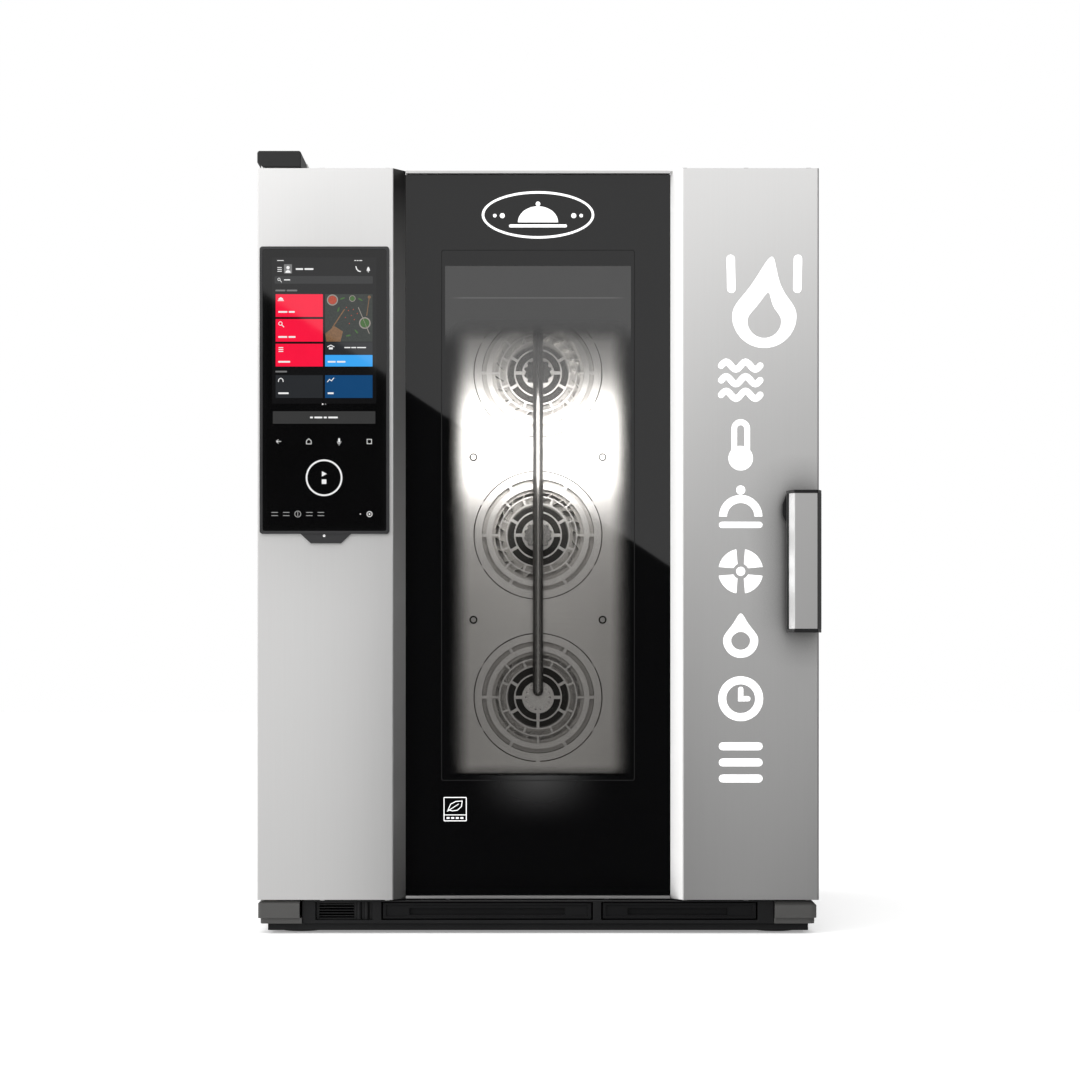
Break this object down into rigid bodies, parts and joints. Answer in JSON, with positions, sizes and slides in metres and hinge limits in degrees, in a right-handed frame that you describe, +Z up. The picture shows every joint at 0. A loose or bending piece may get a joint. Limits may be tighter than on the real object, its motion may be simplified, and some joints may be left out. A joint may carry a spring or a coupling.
{
  "type": "combi steamer oven",
  "caption": "Countertop combi steam oven with a full-width hinged door, glass window, turning lever handle, rear convection fans and drawers in the base.",
  "frame": {"origin": "on the worktop, at the middle of the overall footprint, from the handle's front to the rear fittings", "axes": "+Z up, the front of the oven looks along -Y, +X to the right seen from the front"},
  "size_m": [0.75, 0.8842, 1.069],
  "materials": {
    "steel_brushed": "satin brushed stainless steel",
    "steel_panel": "fine brushed stainless door skin",
    "steel_inner": "brushed stainless chamber lining",
    "steel_polished": "polished stainless",
    "galvanised": "galvanised sheet",
    "black_plastic": "fine moulded texture",
    "dark_plastic": "moulded, slightly satin",
    "black_glass": "tinted glass with a black printed border",
    "clear_glass": "clear heat-resistant glass",
    "screen_glass": "gloss black touch screen",
    "rubber_black": "silicone and rubber seals and feet",
    "insulation": "mineral wool",
    "aluminium": "cast and extruded aluminium",
    "heating_alloy": "heat-darkened alloy sheath",
    "bronze": "sintered bronze bush",
    "circuit": "circuit board and housing"
  },
  "bodies": {
    "oven_body": {"base_tray": "black_plastic", "levelling_feet": "rubber_black", "intake_grille": "black_plastic", "bottom_panel": "galvanised", "right_side_panel": "steel_brushed", "left_side_panel": "steel_brushed", "top_panel": "steel_brushed", "rear_panel": "steel_brushed", "front_frame": "steel_brushed", "cavity_liner": "steel_inner", "insulation_jacket": "insulation", "door_gasket": "rubber_black", "fan_guard": "steel_inner", "guard_screws": "steel_polished", "water_manifold_tube": "steel_polished", "heating_elements": "heating_alloy", "fan_motors": "aluminium", "shaft_seals": "rubber_black", "motor_plate": "galvanised", "tray_rack_right": "steel_polished", "tray_rack_left": "steel_polished", "drain_strainer": "steel_polished", "drain_pipe": "steel_brushed", "exhaust_chimney": "steel_brushed", "water_inlet_valves": "dark_plastic", "power_cable": "rubber_black", "electronics_boxes": "galvanised", "hinge_brackets": "steel_brushed", "hinge_pins": "steel_polished", "hinge_screws": "steel_polished", "top_hinge_cover": "black_plastic", "bottom_hinge_cover": "dark_plastic", "bottom_right_cover": "dark_plastic", "latch_keeper": "steel_brushed"},
    "door": {"right_door_panel": "steel_panel", "left_door_panel": "steel_panel", "door_frame": "galvanised", "door_bushes": "bronze", "outer_door_glass": "black_glass", "inner_door_glass": "clear_glass", "glass_profiles": "steel_brushed", "inner_glass_hinges_and_clips": "steel_brushed", "led_light_bars": "aluminium", "door_drip_gutter": "steel_brushed", "display_frame": "black_plastic", "display_glass": "screen_glass", "display_electronics": "circuit"},
    "handle": {"handle_face": "steel_panel", "handle_core": "black_plastic", "handle_caps": "black_plastic", "handle_spindle": "steel_polished", "latch_hook": "steel_brushed"},
    "fan_top": {"fan_impeller_top": "steel_inner", "motor_shaft_top": "steel_polished"},
    "fan_middle": {"fan_impeller_middle": "steel_inner", "motor_shaft_middle": "steel_polished"},
    "fan_bottom": {"fan_impeller_bottom": "steel_inner", "motor_shaft_bottom": "steel_polished"},
    "drip_drawer": {"drip_drawer": "dark_plastic"},
    "detergent_drawer": {"detergent_drawer": "dark_plastic"}
  },
  "joints": [
    {"name": "door_hinge", "type": "hinge", "parent": "oven_body", "child": "door", "pos_m": [-0.352, -0.3609, 0.5], "axis": [0, 0, -1], "range_deg": [0, 180]},
    {"name": "handle_turn", "type": "hinge", "parent": "door", "child": "handle", "pos_m": [0.3495, -0.4009, 0.564], "axis": [0, 1, 0], "range_deg": [0, 45]},
    {"name": "fan_top_spin", "type": "hinge", "parent": "oven_body", "child": "fan_top", "pos_m": [0, 0.2791, 0.806], "axis": [0, 1, 0], "continuous": true},
    {"name": "fan_middle_spin", "type": "hinge", "parent": "oven_body", "child": "fan_middle", "pos_m": [0, 0.2791, 0.556], "axis": [0, 1, 0], "continuous": true},
    {"name": "fan_bottom_spin", "type": "hinge", "parent": "oven_body", "child": "fan_bottom", "pos_m": [0, 0.2791, 0.306], "axis": [0, 1, 0], "continuous": true},
    {"name": "drip_drawer_slide", "type": "slide", "parent": "oven_body", "child": "drip_drawer", "axis": [0, -1, 0], "range_m": [0, 0.24]},
    {"name": "detergent_drawer_slide", "type": "slide", "parent": "oven_body", "child": "detergent_drawer", "axis": [0, -1, 0], "range_m": [0, 0.24]}
  ]
}
